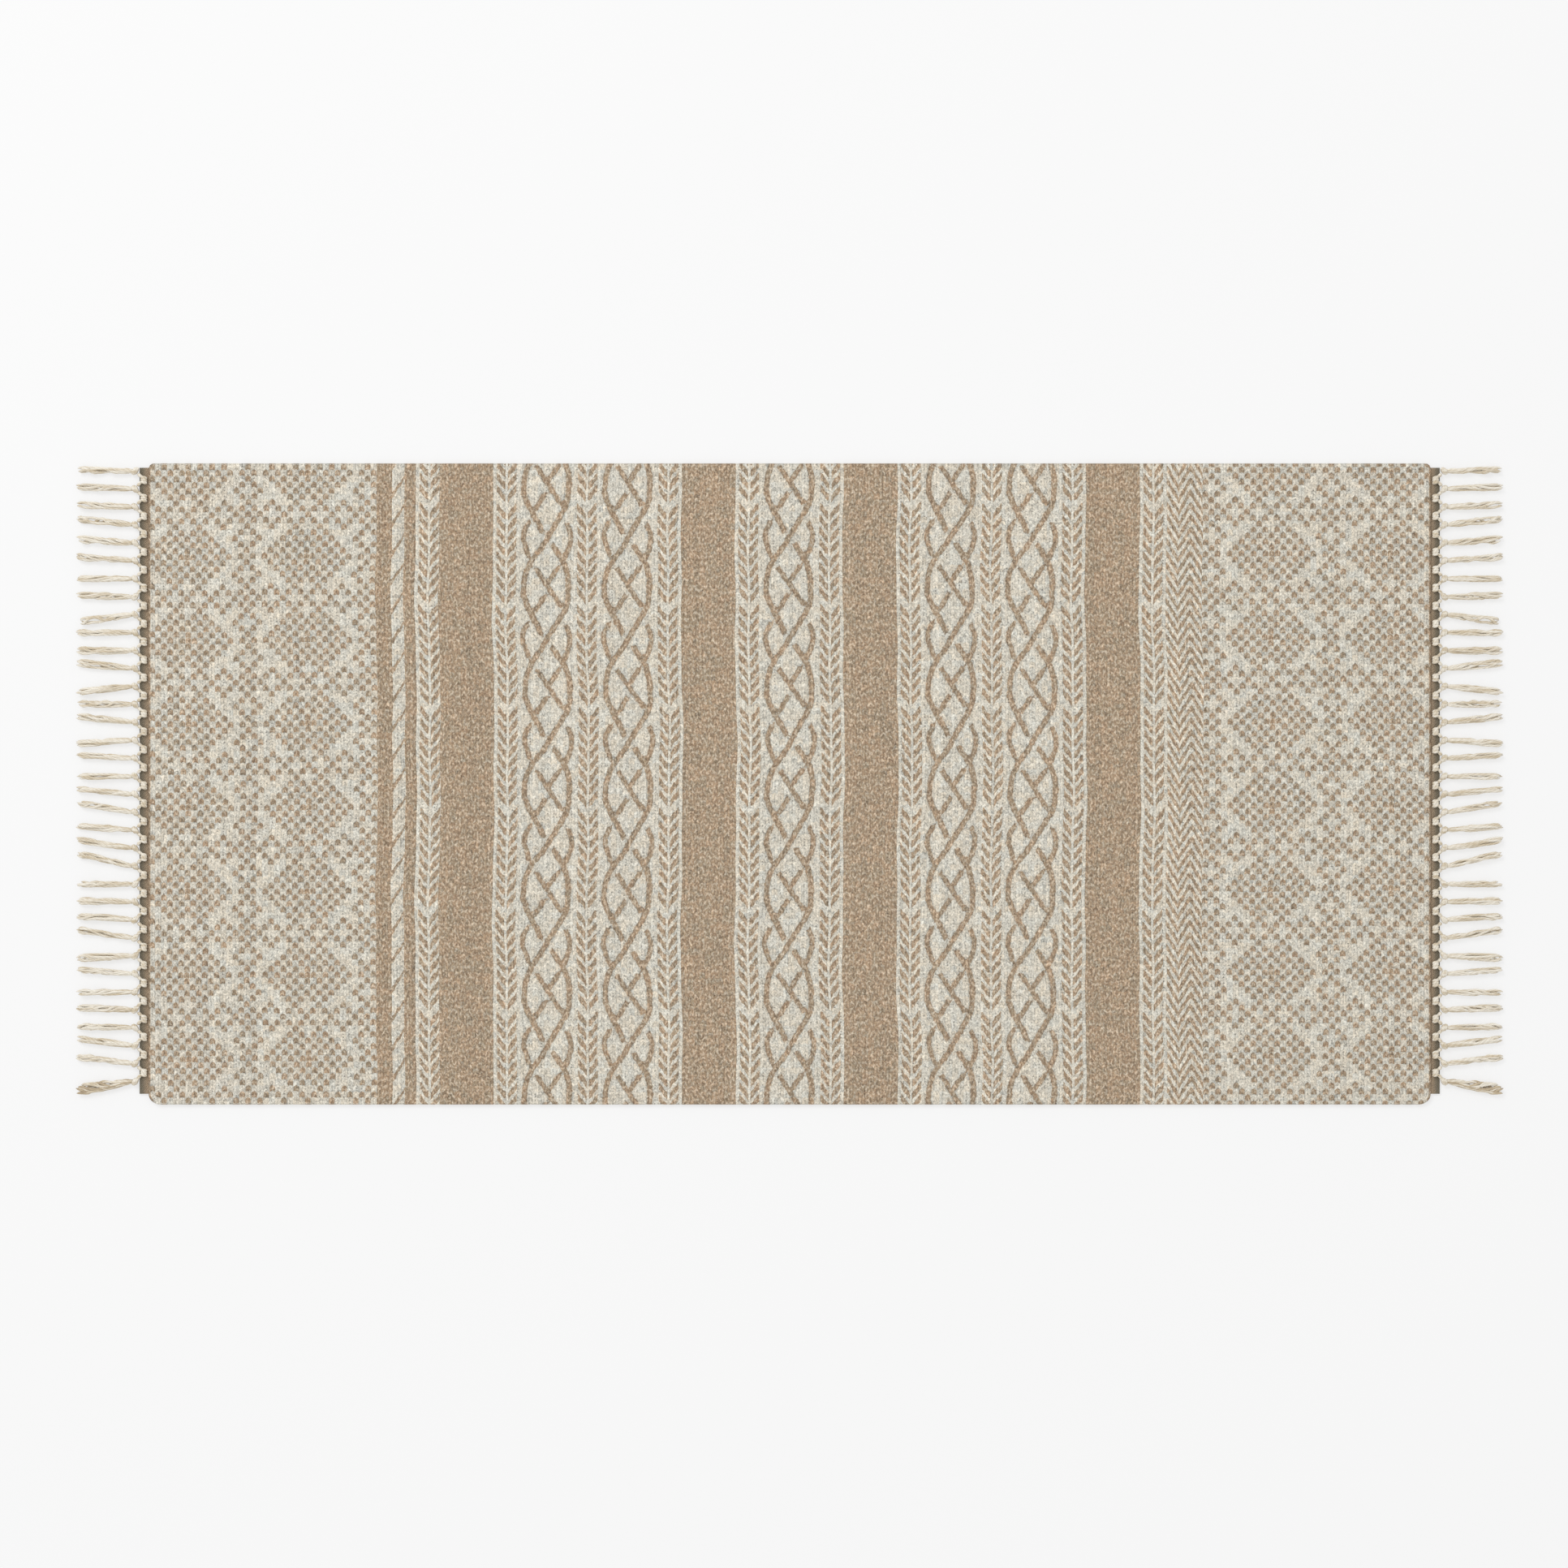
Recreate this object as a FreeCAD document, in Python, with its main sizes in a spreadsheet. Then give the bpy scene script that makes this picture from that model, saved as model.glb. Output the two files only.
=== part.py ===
"""Bath mat: one jacquard-woven cotton cloth with a knotted fringe at each short end.

Frame: X along the mat, Y across it, +Z up. The origin is on the floor under the mat's middle.
All lengths are in millimetres.
"""
import FreeCAD, Part
import os
import Sketcher

from FreeCAD import Placement, Rotation, Vector

SIZES = {
    "panel_length": 1200.0,
    "panel_width": 600.0,
    "panel_thickness": 5.0,
    "edge_round": 1.6,
    "back_corner_round": 4.0,
    "front_corner_round": 10.0,
    "heading_width": 8.5,
    "heading_thickness": 2.0,
    "back_knot_inset": 7.2,
    "front_knot_inset": 21.6,
    "knot_width": 7.6,
    "knot_height": 7.0,
    "knot_clearance": 0.3,
    "bead_length": 6.4,
    "bead_width": 7.0,
    "bead_height": 4.4,
    "arm_thickness": 2.4,
    "tassel_clearance": 0.2,
    "tassel_length": 52.0,
    "neck_width": 4.2,
    "neck_height": 4.0,
    "tassel_side_gap": 1.5,
    "tip_flare": 0.6,
    "belly_height": 5.8,
    "tip_height": 5.2,
    "corner_tassel_width": 13.0,
}

# The fringe is laid by hand, so its tassels lean. Each number is how far a tassel's tip lies off
# its own knot's line towards the back edge, in hundredths of the knots' spacing, counted from the
# back corner. Both ends lean alike.
TIP_LEANS = [
    6, 12, 12, 35, 18, 24, 0, 6, -40, 0,
    0, 35, -30, 6, 35, -18, 18, 0, 30, 53,
    24, 47, 70, 0, 6, 24, 47, -12, 24, -6,
    12, 6, 40, 40, -45,
]
TASSEL_COUNT = len(TIP_LEANS)
CLOSEST_TIPS = min(1 + (a - b) / 100 for a, b in zip(TIP_LEANS, TIP_LEANS[1:]))
TASSELS_IN_GROUP = 5
GROUP_COUNT = TASSEL_COUNT // TASSELS_IN_GROUP
BELLY_SHARE = 0.55
ENDS = {"left": -1, "right": 1}

# Turns a flat XY profile so that its X runs along the mat's Y and its Y runs up.
ACROSS_THE_FRINGE = Rotation(Vector(1, 1, 1), 120)
TINY = 1e-6

doc = FreeCAD.newDocument("BathMat")


def make_sheet():
    """The driving dimensions, one named cell each."""
    sheet = doc.addObject("Spreadsheet::Sheet", "Sizes")
    for row, (alias, value) in enumerate(SIZES.items(), start=1):
        sheet.set(f"A{row}", alias)
        sheet.set(f"B{row}", str(value))
        sheet.setAlias(f"B{row}", alias)
    doc.recompute()
    return sheet


def bind(item, **expressions):
    """Ties properties to the sheet. A double underscore in a name stands for a dot."""
    for name, expression in expressions.items():
        item.setExpression(name.replace("__", "."), expression)


def place(item, x, y, z):
    """Ties a piece's position to three expressions."""
    bind(item, Placement__Base__x=x, Placement__Base__y=y, Placement__Base__z=z)


# ---- Positions that several pieces share, as expressions ----
HALF_LENGTH = "Sizes.panel_length / 2"
HALF_WIDTH = "Sizes.panel_width / 2"
KNOT_SPAN = "(Sizes.panel_width - Sizes.back_knot_inset - Sizes.front_knot_inset)"
PITCH = f"({KNOT_SPAN} / {TASSEL_COUNT - 1})"
KNOT_X = f"({HALF_LENGTH} + Sizes.heading_width + Sizes.knot_clearance + Sizes.knot_height / 2)"
KNOT_Z = "Sizes.knot_height / 2"
BEAD_X = f"({HALF_LENGTH} + Sizes.heading_width / 2)"
BEAD_Z = "(Sizes.heading_thickness + Sizes.bead_height / 2)"
# An arm runs from its bead's middle towards a knot's middle and stops short of the knot.
ARM_RUN = f"sqrt(({PITCH} / 2) ^ 2 + ({KNOT_X} - {BEAD_X}) ^ 2)"
ARM_STOP = (
    "(max(Sizes.knot_width; Sizes.knot_height) / 2"
    " + Sizes.knot_clearance + Sizes.arm_thickness / 2)"
)
ARM_SHARE = f"(1 - {ARM_STOP} / {ARM_RUN})"
# A tassel is as full as the two that lean closest together leave room for.
TIP_WIDTH = f"({CLOSEST_TIPS} * {PITCH} - Sizes.tassel_side_gap)"


def knot_y(number):
    """The line of a knot across the mat; a half number is the bead between two knots."""
    return f"({HALF_WIDTH} - Sizes.back_knot_inset - {number} * {PITCH})"


def signed(side, expression):
    """An X position at the left or the right end."""
    return f"{ENDS[side]} * {expression}"


def edges_where(shape, test):
    """Names of the edges whose two end points, as a pair, pass a test."""
    names = []
    for number, edge in enumerate(shape.Edges, start=1):
        if test(edge.Vertexes[0].Point, edge.Vertexes[-1].Point):
            names.append(f"Edge{number}")
    return names


def add_fillet(body, name, base, edges, radius):
    """Rounds some edges of a body's last feature."""
    fillet = body.newObject("PartDesign::Fillet", name)
    fillet.Base = (base, edges)
    bind(fillet, Radius=radius)
    body.Tip = fillet
    doc.recompute()
    return fillet


# ---- The cloth ----
def make_panel():
    """The woven panel: a flat cloth with soft edges, squarer at its back corners."""
    body = doc.addObject("PartDesign::Body", "woven_panel")
    floor = next(f for f in body.Origin.OriginFeatures if f.Role == "XY_Plane")
    outline = body.newObject("Sketcher::SketchObject", "panel_outline")
    outline.AttachmentSupport = [(floor, "")]
    outline.MapMode = "FlatFace"
    half_x = SIZES["panel_length"] / 2
    half_y = SIZES["panel_width"] / 2
    corners = [
        Vector(-half_x, -half_y, 0),
        Vector(half_x, -half_y, 0),
        Vector(half_x, half_y, 0),
        Vector(-half_x, half_y, 0),
    ]
    for start, end in zip(corners, corners[1:] + corners[:1]):
        outline.addGeometry(Part.LineSegment(start, end), False)
    for side in range(4):
        outline.addConstraint(Sketcher.Constraint("Coincident", side, 2, (side + 1) % 4, 1))
    for side, direction in enumerate(["Horizontal", "Vertical", "Horizontal", "Vertical"]):
        outline.addConstraint(Sketcher.Constraint(direction, side))
    outline.addConstraint(Sketcher.Constraint("Symmetric", 0, 1, 2, 1, -1, 1))
    length = outline.addConstraint(Sketcher.Constraint("DistanceX", 0, 1, 0, 2, 2 * half_x))
    width = outline.addConstraint(Sketcher.Constraint("DistanceY", 1, 1, 1, 2, 2 * half_y))
    outline.renameConstraint(length, "mat_length")
    outline.renameConstraint(width, "mat_width")
    bind(
        outline,
        Constraints__mat_length="Sizes.panel_length",
        Constraints__mat_width="Sizes.panel_width",
    )
    pad = body.newObject("PartDesign::Pad", "panel_cloth")
    pad.Profile = outline
    bind(pad, Length="Sizes.panel_thickness")
    body.Tip = pad
    doc.recompute()

    def back_corner(start, end):
        return abs(start.z - end.z) > TINY and abs(start.y - half_y) < TINY

    def front_corner(start, end):
        return abs(start.z - end.z) > TINY and abs(start.y + half_y) < TINY

    def level(start, end):
        return abs(start.z - end.z) < TINY

    step = add_fillet(
        body, "back_corners", pad, edges_where(pad.Shape, back_corner), "Sizes.back_corner_round"
    )
    step = add_fillet(
        body,
        "front_corners",
        step,
        edges_where(step.Shape, front_corner),
        "Sizes.front_corner_round",
    )
    add_fillet(body, "soft_edges", step, edges_where(step.Shape, level), "Sizes.edge_round")


def make_heading(side):
    """The thin plain-woven strip past the last stripe, which the warp bundles cross."""
    heading = doc.addObject("Part::Box", f"{side}_heading")
    bind(
        heading,
        Length="Sizes.heading_width",
        Width="Sizes.panel_width - Sizes.back_corner_round - Sizes.front_corner_round",
        Height="Sizes.heading_thickness",
    )
    inner_x = f"-{HALF_LENGTH} - Sizes.heading_width" if side == "left" else HALF_LENGTH
    place(heading, inner_x, f"-{HALF_WIDTH} + Sizes.front_corner_round", "0")


# ---- The warp bundles on the heading ----
def make_oval(name, side, x, y, z, wide, high):
    """An oval that faces along X, as one section of a tassel."""
    oval = doc.addObject("Part::Ellipse", name)
    oval.Placement = Placement(Vector(), ACROSS_THE_FRINGE)
    bind(oval, MajorRadius=f"{wide} / 2", MinorRadius=f"{high} / 2")
    place(oval, signed(side, x), y, z)
    return oval


def make_round(name, side, x, y, z):
    """A circle that faces along X, as one end of an arm."""
    circle = doc.addObject("Part::Circle", name)
    circle.Placement = Placement(Vector(), ACROSS_THE_FRINGE)
    bind(circle, Radius="Sizes.arm_thickness / 2")
    place(circle, signed(side, x), y, z)
    return circle


def make_loft(name, rings):
    """A bundle of yarn through its sections."""
    loft = doc.addObject("Part::Loft", name)
    loft.Sections = rings
    loft.Solid = True
    loft.Ruled = False
    return loft


def make_arm(side, number, toward):
    """One half of a split warp bundle, from its bead to just short of a knot.

    toward is 1 for the knot nearer the back edge and -1 for the other.
    """
    name = f"{side}_arm_{number + 1}_{'back' if toward > 0 else 'front'}"
    bead_y = knot_y(number + 0.5)
    start = make_round(f"{name}_start", side, BEAD_X, bead_y, BEAD_Z)
    end = make_round(
        f"{name}_end",
        side,
        f"({BEAD_X} + {ARM_SHARE} * ({KNOT_X} - {BEAD_X}))",
        f"{bead_y} + {toward} * {ARM_SHARE} * {PITCH} / 2",
        f"({BEAD_Z} + {ARM_SHARE} * ({KNOT_Z} - {BEAD_Z}))",
    )
    return make_loft(name, [start, end])


def make_bead(side, number):
    """The round turn of a warp bundle over the heading, between two knots."""
    bead = doc.addObject("Part::Ellipsoid", f"{side}_bead_{number + 1}")
    bind(
        bead,
        Radius1="Sizes.bead_height / 2",
        Radius2="Sizes.bead_length / 2",
        Radius3="Sizes.bead_width / 2",
    )
    place(bead, signed(side, BEAD_X), knot_y(number + 0.5), BEAD_Z)
    return bead


def make_hitches(side):
    """Every bead of one end, each a single solid with its two arms."""
    hitches = []
    for number in range(TASSEL_COUNT - 1):
        hitch = doc.addObject("Part::MultiFuse", f"{side}_hitch_{number + 1}")
        hitch.Shapes = [
            make_bead(side, number),
            make_arm(side, number, 1),
            make_arm(side, number, -1),
        ]
        hitches.append(hitch)
    return make_row(f"{side}_hitches", hitches)


# ---- The knots and tassels ----
def make_knot(side, number):
    """An overhand knot, round about the line that its tassel folds on."""
    knot = doc.addObject("Part::Ellipsoid", f"{side}_knot_{number + 1}")
    bind(
        knot,
        Radius1="Sizes.knot_height / 2",
        Radius2="Sizes.knot_height / 2",
        Radius3="Sizes.knot_width / 2",
    )
    place(knot, signed(side, KNOT_X), knot_y(number), KNOT_Z)
    return knot


def make_tassel(side, number):
    """The loose yarn past a knot: a narrow neck, a full belly and a blunt cut tip."""
    is_corner = number == TASSEL_COUNT - 1
    tip_width = "Sizes.corner_tassel_width" if is_corner else TIP_WIDTH
    lean = TIP_LEANS[number] / 100
    sections = {
        "neck": (0, "Sizes.neck_width", "Sizes.neck_height"),
        "belly": (BELLY_SHARE, f"({tip_width} - Sizes.tip_flare)", "Sizes.belly_height"),
        "tip": (1, tip_width, "Sizes.tip_height"),
    }
    rings = []
    for part, (share, wide, high) in sections.items():
        reach = f"(Sizes.knot_height / 2 + Sizes.tassel_clearance + {share} * Sizes.tassel_length)"
        rings.append(
            make_oval(
                f"{side}_{part}_{number + 1}",
                side,
                f"({KNOT_X} + {reach})",
                f"{knot_y(number)} + {share * lean} * {PITCH}",
                KNOT_Z,
                wide,
                high,
            )
        )
    return make_loft(f"{side}_tassel_{number + 1}", rings)


def make_row(name, pieces):
    """One node of several like solids."""
    row = doc.addObject("Part::Compound", name)
    row.Links = pieces
    return row


def make_fringe(side):
    """The knots and tassels of one end, in groups that fold apart from each other."""
    for group in range(GROUP_COUNT):
        members = range(group * TASSELS_IN_GROUP, (group + 1) * TASSELS_IN_GROUP)
        make_row(f"{side}_knots_{group + 1}", [make_knot(side, n) for n in members])
        make_row(f"{side}_tassels_{group + 1}", [make_tassel(side, n) for n in members])


# ---- Build, check and write ----
make_sheet()
make_panel()
for end_name in ENDS:
    make_heading(end_name)
    make_hitches(end_name)
    make_fringe(end_name)
doc.recompute()

NODES = ["woven_panel"]
for end_name in ENDS:
    NODES += [f"{end_name}_heading", f"{end_name}_hitches"]
    for group_number in range(1, GROUP_COUNT + 1):
        NODES += [f"{end_name}_knots_{group_number}", f"{end_name}_tassels_{group_number}"]

for item in doc.Objects:
    if "Invalid" in item.State or "Error" in item.State:
        raise RuntimeError(f"{item.Name} failed: {item.State}")

os.makedirs("parts", exist_ok=True)
for node in NODES:
    piece = doc.getObject(node)
    if piece.Shape.isNull() or not piece.Shape.isValid():
        raise RuntimeError(f"{node} has no valid shape")
    piece.Label = node
    piece.Shape.exportStep(f"parts/{node}.step")
    print(f"{node}: {len(piece.Shape.Solids)} solids, {piece.Shape.Volume / 1000:.2f} cm3")
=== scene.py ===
"""Looks of the bath mat: the jacquard cloth, its headings and the knotted fringe.

Everything is in metres in the mat's own frame: X along the mat, Y across it, Z up from the floor.
"""
import math
import random

import bmesh
import bpy
import numpy as np
from mathutils import Matrix, Vector


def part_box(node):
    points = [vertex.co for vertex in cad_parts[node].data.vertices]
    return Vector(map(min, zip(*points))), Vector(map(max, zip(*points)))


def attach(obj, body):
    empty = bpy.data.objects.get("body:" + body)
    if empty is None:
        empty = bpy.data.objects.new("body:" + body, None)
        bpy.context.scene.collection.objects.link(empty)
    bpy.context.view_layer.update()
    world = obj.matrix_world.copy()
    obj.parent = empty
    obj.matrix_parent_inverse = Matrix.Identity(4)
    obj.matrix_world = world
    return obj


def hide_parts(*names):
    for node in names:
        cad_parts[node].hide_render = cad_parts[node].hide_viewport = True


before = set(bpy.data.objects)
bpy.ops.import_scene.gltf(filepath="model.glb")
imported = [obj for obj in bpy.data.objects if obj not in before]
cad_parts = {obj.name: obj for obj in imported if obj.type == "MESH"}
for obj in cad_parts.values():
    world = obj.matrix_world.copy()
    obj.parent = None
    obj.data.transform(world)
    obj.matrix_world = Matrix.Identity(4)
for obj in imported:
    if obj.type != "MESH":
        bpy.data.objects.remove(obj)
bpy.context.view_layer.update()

MM = 0.001

# ---- Places and sizes, read from the frame ----
PANEL_LOW, PANEL_HIGH = (Vector(corner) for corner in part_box("woven_panel"))
LENGTH = PANEL_HIGH.x - PANEL_LOW.x
WIDTH = PANEL_HIGH.y - PANEL_LOW.y
THICKNESS = PANEL_HIGH.z

TASSELS_IN_GROUP = 5
GROUPS = 7
FIRST_LOW, FIRST_HIGH = (Vector(corner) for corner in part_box("right_knots_1"))
LAST_HIGH = Vector(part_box(f"right_knots_{GROUPS}")[1])
TASSEL_COUNT = TASSELS_IN_GROUP * GROUPS
PITCH = (FIRST_HIGH.y - LAST_HIGH.y) / (TASSEL_COUNT - TASSELS_IN_GROUP)
KNOT_WIDTH = FIRST_HIGH.y - FIRST_LOW.y - (TASSELS_IN_GROUP - 1) * PITCH
KNOT_HEIGHT = FIRST_HIGH.z - FIRST_LOW.z
KNOT_X = (FIRST_LOW.x + FIRST_HIGH.x) / 2
KNOT_Z = (FIRST_LOW.z + FIRST_HIGH.z) / 2
FIRST_KNOT_Y = FIRST_HIGH.y - KNOT_WIDTH / 2
TASSEL_TIP_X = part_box("right_tassels_1")[1][0]

# How far each tassel's tip leans towards the back edge, in hundredths of the knots' spacing.
TIP_LEANS = [
    6, 12, 12, 35, 18, 24, 0, 6, -40, 0,
    0, 35, -30, 6, 35, -18, 18, 0, 30, 53,
    24, 47, 70, 0, 6, 24, 47, -12, 24, -6,
    12, 6, 40, 40, -45,
]
CLOSEST_TIPS = min(1 + (a - b) / 100 for a, b in zip(TIP_LEANS, TIP_LEANS[1:]))
TIP_WIDTH = CLOSEST_TIPS * PITCH - 1.5 * MM
CORNER_TASSEL_WIDTH = 13 * MM

# ---- The draft of the cloth: one square is one stitch, a leg wide and a row high ----
LEGS = 428
ROWS = 214
LEG = LENGTH / LEGS
ROW = WIDTH / ROWS
ZONES = ["plain", "cable", "cable", "plain", "cable", "plain", "cable", "cable", "plain"]
REPEAT_ROWS = 34
LATTICE_LEGS = 76
ROPE_LEGS = 4
ARROWS_LEGS = 9
ZONE_LEGS = 18
ZIGZAG_LEGS = 12
ROPE_TURN_ROWS = 9.75
ARROWS_FIRST_ROW = 47
ARROWS_STACK_ROWS = 32
STROKE_ROWS = 4
ZIGZAG_SLOPE = 1.655
# The legs where bands begin, from the left edge.
ARROWS_START = LATTICE_LEGS + 3 * ROPE_LEGS
RIGHT_LATTICE_START = LEGS - LATTICE_LEGS
ZIGZAG_START = RIGHT_LATTICE_START - ZIGZAG_LEGS


def lattice(leg, row, centre_leg, centre_row):
    """Diamonds of tan dots, each dot two legs by two rows, in a grid of white."""
    across = (leg - centre_leg) // 2 % 20
    across = np.minimum(across, 20 - across)
    along = (row - centre_row) // 2 % 14
    along = np.minimum(along, 14 - along)
    diamond = (across + along <= 7) & (along <= 4)
    cross_bar = (along >= 6) & ~((along == 7) & (across % 4 == 2))
    cross_bar |= (along == 5) & (across % 4 == 2)
    upright = (across >= 9) & ~((across == 10) & (along == 3))
    upright |= (across == 8) & (along == 3)
    dots = ((across + along) % 2 == 1) & (diamond | cross_bar | upright)
    return dots | ((across == 0) & (along == 0))


def left_lattice(leg, row):
    return lattice(leg, row, 12, 30)


def right_lattice(leg, row):
    return lattice(leg, row, 22, 29)


def plain(leg, row):
    return np.ones(leg.shape, bool)


def rope(leg, row):
    """White, crossed by thin slanting tan lines."""
    return (row - 1.2 * leg) % ROPE_TURN_ROWS < 1.0


def arrows(leg, row):
    """Stacks of eight tan V's that point to the front, on a white ground."""
    from_middle = np.abs(leg - 4)
    drop = (row - ARROWS_FIRST_ROW) % REPEAT_ROWS - 1.2 * (3 - from_middle)
    stroke = (drop >= 0) & (drop < ARROWS_STACK_ROWS) & (drop % STROKE_ROWS < 2.2)
    return stroke & (from_middle >= 1) & (from_middle <= 3)


def zigzag(leg, row):
    """Three strips of slanting stripes that turn at each strip's edge."""
    step = leg + 0.5
    climb = np.where(step < 4, step, np.where(step < 8, 8 - step, step - 8))
    return (row + 0.5 - ZIGZAG_SLOPE * climb) % STROKE_ROWS < 2.2


# The cable's tan strokes in one repeat: half width in legs, then (legs right of the middle, rows).
CABLE_STROKES = [
    (0.9, [(7.2, -7), (7.2, -1), (6.5, 1.8), (3.8, 6.3), (1, 10.8), (-1.6, 15.4),
           (-4.8, 19.5), (-6.6, 23), (-7.5, 26.2), (-7.8, 31.7)]),
    (0.95, [(-7.7, -2.7), (-6.6, 0.5), (-4.8, 4.1), (-3, 7.2), (-1.7, 10.2)]),
    (0.95, [(2.1, 14.9), (4.2, 18.1), (6.1, 21.2), (7.2, 25.3), (7.5, 28.9)]),
    (0.85, [(-6.1, 7.2), (-7.7, 10), (-7.9, 12.7), (-7, 15.4), (-6.1, 18.2)]),
    (0.85, [(6.7, 7.7), (7.9, 10.8), (7.9, 13.6), (7, 16.7), (6.1, 18.5)]),
    (0.85, [(-3.4, -11.3), (4.7, 0.9)]),
    (0.85, [(3.8, -11.7), (0.4, -6.8)]),
    (0.85, [(-0.7, -2.2), (-3.4, 2.2)]),
]


def stroke_distance(leg, row, start, end):
    """How far a spot on the draft lies from the line from start to end, in legs."""
    run = (end[0] - start[0], end[1] - start[1])
    share = ((leg - start[0]) * run[0] + (row - start[1]) * run[1]) / (run[0] ** 2 + run[1] ** 2)
    share = np.clip(share, 0, 1)
    return np.hypot(leg - start[0] - share * run[0], row - start[1] - share * run[1])


def cable_depth(leg, row):
    """How deep a spot lies inside the cable's tan outline, in legs; negative on the white."""
    middle = leg - 9
    level = (row - 46.2) % REPEAT_ROWS
    depth = np.full(leg.shape, -4.0)
    for half_width, points in CABLE_STROKES:
        for start, end in zip(points, points[1:]):
            for turn in (-REPEAT_ROWS, 0, REPEAT_ROWS):
                gap = stroke_distance(middle, level + turn, start, end)
                depth = np.maximum(depth, half_width - gap)
    return depth


def cable(leg, row):
    """White strands that cross over each other, outlined in tan."""
    return cable_depth(leg + 0.5, row + 0.5) > 0


def draft_bands():
    """The bands from the left edge to the right, each with its width in legs."""
    bands = [(left_lattice, LATTICE_LEGS)]
    bands += [(plain, ROPE_LEGS), (rope, ROPE_LEGS), (plain, ROPE_LEGS)]
    for zone in ZONES:
        bands += [(arrows, ARROWS_LEGS), (cable if zone == "cable" else plain, ZONE_LEGS)]
    return bands + [(arrows, ARROWS_LEGS), (zigzag, ZIGZAG_LEGS), (right_lattice, LATTICE_LEGS)]


def at_grid_points(grid):
    """The mean of the four stitches round each point of the grid."""
    wide = np.pad(grid, 1, mode="edge")
    return (wide[:-1, :-1] + wide[1:, :-1] + wide[:-1, 1:] + wide[1:, 1:]) / 4


def draw_draft():
    """The draft as three grids, [leg, row].

    The first is 1 where tan yarn shows on the face of the cloth and 0 where white does, and
    gives the relief. The second says the same smoothly, at the points between stitches: above 0
    inside the tan. The third is 1 on the bands that the second one outlines, which are the
    lattices and the cables.
    """
    draft = np.zeros((LEGS, ROWS))
    bands = draft_bands()
    firsts = np.cumsum([0] + [legs for _, legs in bands])
    for first, (band, legs) in zip(firsts, bands):
        leg, row = np.meshgrid(np.arange(legs), np.arange(ROWS), indexing="ij")
        draft[first:first + legs] = band(leg, row)
    tan_depth = (at_grid_points(draft) - 0.47) * 2
    smooth = np.zeros((LEGS, ROWS))
    for first, (band, legs) in zip(firsts, bands):
        smooth[first:first + legs] = band in (left_lattice, right_lattice, cable)
        if band is cable:
            leg, row = np.meshgrid(np.arange(legs + 1), np.arange(ROWS + 1), indexing="ij")
            tan_depth[first:first + legs + 1] = cable_depth(leg, row)
    return draft, tan_depth, smooth


DRAFT, TAN_DEPTH, SMOOTH_BANDS = draw_draft()


# ---- Finishes ----
class Value:
    """A number that varies over a surface. Arithmetic on it adds Math nodes."""

    def __init__(self, finish, socket):
        self.finish = finish
        self.socket = socket

    def math(self, operation, *others, clamp=False):
        sockets = dict(enumerate((self, *others)))
        return self.finish.node("Math", {"operation": operation, "use_clamp": clamp}, sockets)

    def __add__(self, other):
        return self.math("ADD", other)

    def __sub__(self, other):
        return self.math("SUBTRACT", other)

    def __mul__(self, other):
        return self.math("MULTIPLY", other)

    def __truediv__(self, other):
        return self.math("DIVIDE", other)

    def __pow__(self, other):
        return self.math("POWER", other)

    def __mod__(self, other):
        return self.math("FLOORED_MODULO", other)

    def __lt__(self, other):
        return self.math("LESS_THAN", other)

    def __gt__(self, other):
        return self.math("GREATER_THAN", other)

    def __radd__(self, other):
        return self.math("ADD", other)

    def __rmul__(self, other):
        return self.math("MULTIPLY", other)

    def __rsub__(self, other):
        return self.finish.node("Math", {"operation": "SUBTRACT"}, {0: other, 1: self})

    def sin(self):
        return self.math("SINE")

    def abs(self):
        return self.math("ABSOLUTE")

    def floor(self):
        return self.math("FLOOR")

    def limit(self):
        return self.math("ADD", 0.0, clamp=True)

    def ease(self, low, high):
        """0 below low and 1 above high, with a soft step between."""
        settings = {"interpolation_type": "SMOOTHSTEP"}
        return self.finish.node("MapRange", settings, {0: self, 1: low, 2: high, 3: 0.0, 4: 1.0})


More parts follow.
